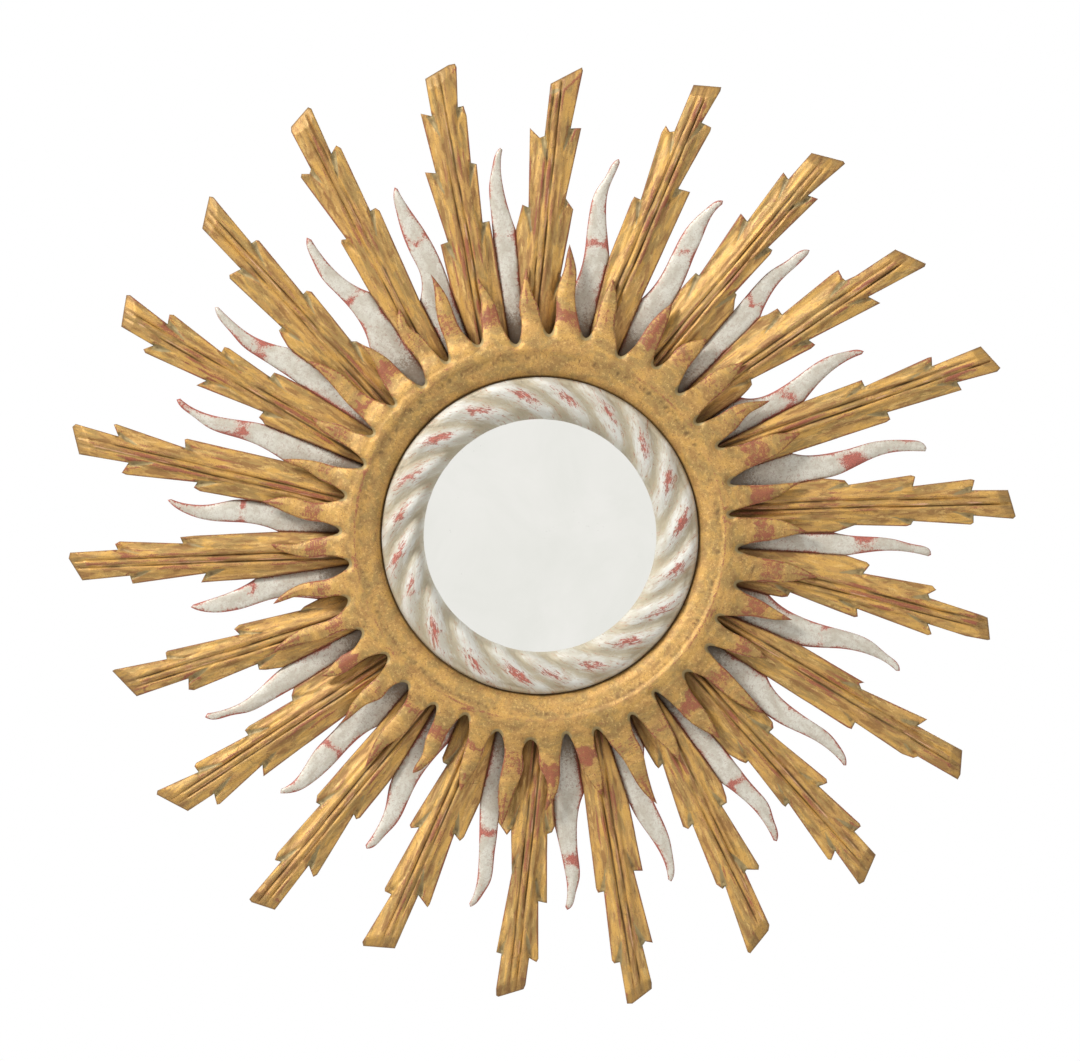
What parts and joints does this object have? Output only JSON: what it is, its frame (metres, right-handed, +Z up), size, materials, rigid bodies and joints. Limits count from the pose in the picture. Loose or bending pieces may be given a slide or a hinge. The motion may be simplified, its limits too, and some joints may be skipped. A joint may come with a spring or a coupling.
{
  "type": "sunburst mirror",
  "caption": "Round wall mirror in a rope moulding and a fingered gold ring, with carved gold rays that alternate with wavy silver ones, on a hub board with a hanging ring behind.",
  "frame": {"origin": "middle of the backboard's flat back, where it lies on the wall", "axes": "+Y into the wall, -Y towards the viewer, +Z up, +X to the viewer's right"},
  "size_m": [0.8119, 0.05, 0.8058],
  "materials": {
    "gold_leaf": "carved wood, gilded over red bole, rubbed through on the edges and toned brown",
    "silver_leaf": "carved wood in aged silver leaf over red bole, off-white with red rubbed patches",
    "white_gilding": "fluted wood in warm white gilding, rubbed red on the strands",
    "plain_wood": "planed, unfinished",
    "mirror_glass": "silvered glass",
    "packing_card": "grey board",
    "backboard": "brown hardboard",
    "screw_steel": "plain",
    "hanger_brass": "dull brass"
  },
  "bodies": {
    "mirror_body": {"gold_ray_01": "gold_leaf", "gold_ray_02": "gold_leaf", "gold_ray_03": "gold_leaf", "gold_ray_04": "gold_leaf", "gold_ray_05": "gold_leaf", "gold_ray_06": "gold_leaf", "gold_ray_07": "gold_leaf", "gold_ray_08": "gold_leaf", "gold_ray_09": "gold_leaf", "gold_ray_10": "gold_leaf", "gold_ray_11": "gold_leaf", "gold_ray_12": "gold_leaf", "gold_ray_13": "gold_leaf", "gold_ray_14": "gold_leaf", "gold_ray_15": "gold_leaf", "gold_ray_16": "gold_leaf", "gold_ray_17": "gold_leaf", "gold_ray_18": "gold_leaf", "gold_ray_19": "gold_leaf", "gold_ray_20": "gold_leaf", "gold_ray_21": "gold_leaf", "gold_ray_22": "gold_leaf", "silver_ray_01": "silver_leaf", "silver_ray_02": "silver_leaf", "silver_ray_03": "silver_leaf", "silver_ray_04": "silver_leaf", "silver_ray_05": "silver_leaf", "silver_ray_06": "silver_leaf", "silver_ray_07": "silver_leaf", "silver_ray_08": "silver_leaf", "silver_ray_09": "silver_leaf", "silver_ray_10": "silver_leaf", "silver_ray_11": "silver_leaf", "silver_ray_12": "silver_leaf", "silver_ray_13": "silver_leaf", "silver_ray_14": "silver_leaf", "silver_ray_15": "silver_leaf", "silver_ray_16": "silver_leaf", "silver_ray_17": "silver_leaf", "silver_ray_18": "silver_leaf", "silver_ray_19": "silver_leaf", "silver_ray_20": "silver_leaf", "silver_ray_21": "silver_leaf", "silver_ray_22": "silver_leaf", "gold_ring": "gold_leaf", "rope_moulding": "white_gilding", "hub_board": "plain_wood", "mirror_glass": "mirror_glass", "glass_packing": "packing_card", "backboard": "backboard", "ray_screws": "screw_steel", "moulding_screws": "screw_steel", "backboard_screws": "screw_steel", "hanger_strap": "hanger_brass", "hanger_screws": "hanger_brass"},
    "hanging_ring": {"hanging_ring": "hanger_brass"}
  },
  "joints": [
    {"name": "ring_swing", "type": "hinge", "parent": "mirror_body", "child": "hanging_ring", "pos_m": [0, -0.00265, 0.172], "axis": [1, 0, 0], "range_deg": [0, 180]}
  ]
}
